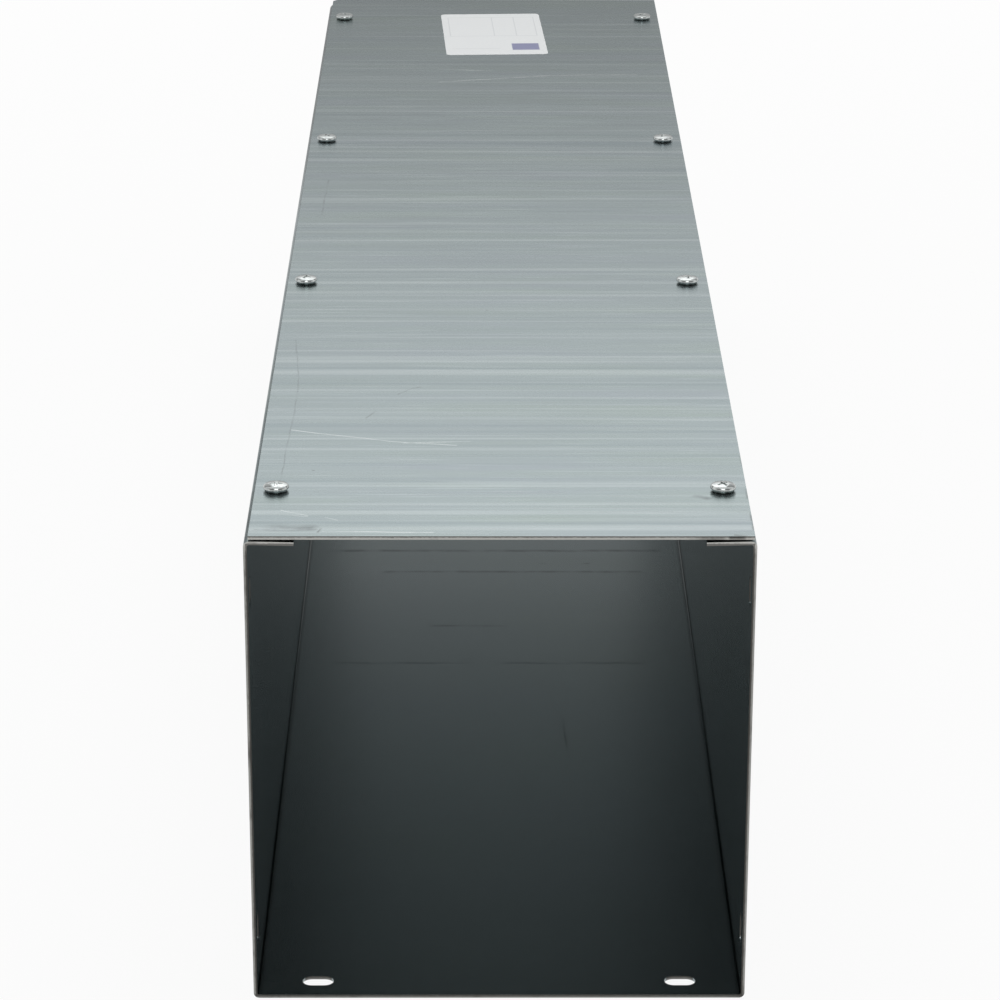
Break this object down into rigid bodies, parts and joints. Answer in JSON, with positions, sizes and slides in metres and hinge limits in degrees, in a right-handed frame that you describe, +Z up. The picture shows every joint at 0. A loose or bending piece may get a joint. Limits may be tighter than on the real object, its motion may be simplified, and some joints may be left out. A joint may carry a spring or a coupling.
{
  "type": "screw cover wireway",
  "caption": "Straight square wireway folded from galvanised sheet steel, open at the ends, with a flat cover screwed to inturned flanges and slots for joining sections.",
  "frame": {"origin": "on the floor under the middle of the trough", "axes": "+Y along the trough towards its far end, +X to the right seen from the near end, +Z up towards the cover"},
  "size_m": [0.2032, 0.9144, 0.2088],
  "materials": {
    "galvanised_sheet": "mill galvanised, cool grey with faint streaks across the sheet",
    "zinc_plated_screw": "bright zinc plate",
    "label_paper": "matt white paper"
  },
  "bodies": {
    "root": {"trough": "galvanised_sheet", "cover": "galvanised_sheet", "screw_front_left": "zinc_plated_screw", "screw_front_right": "zinc_plated_screw", "screw_front_middle_left": "zinc_plated_screw", "screw_front_middle_right": "zinc_plated_screw", "screw_back_middle_left": "zinc_plated_screw", "screw_back_middle_right": "zinc_plated_screw", "screw_back_left": "zinc_plated_screw", "screw_back_right": "zinc_plated_screw", "label": "label_paper"}
  },
  "joints": []
}
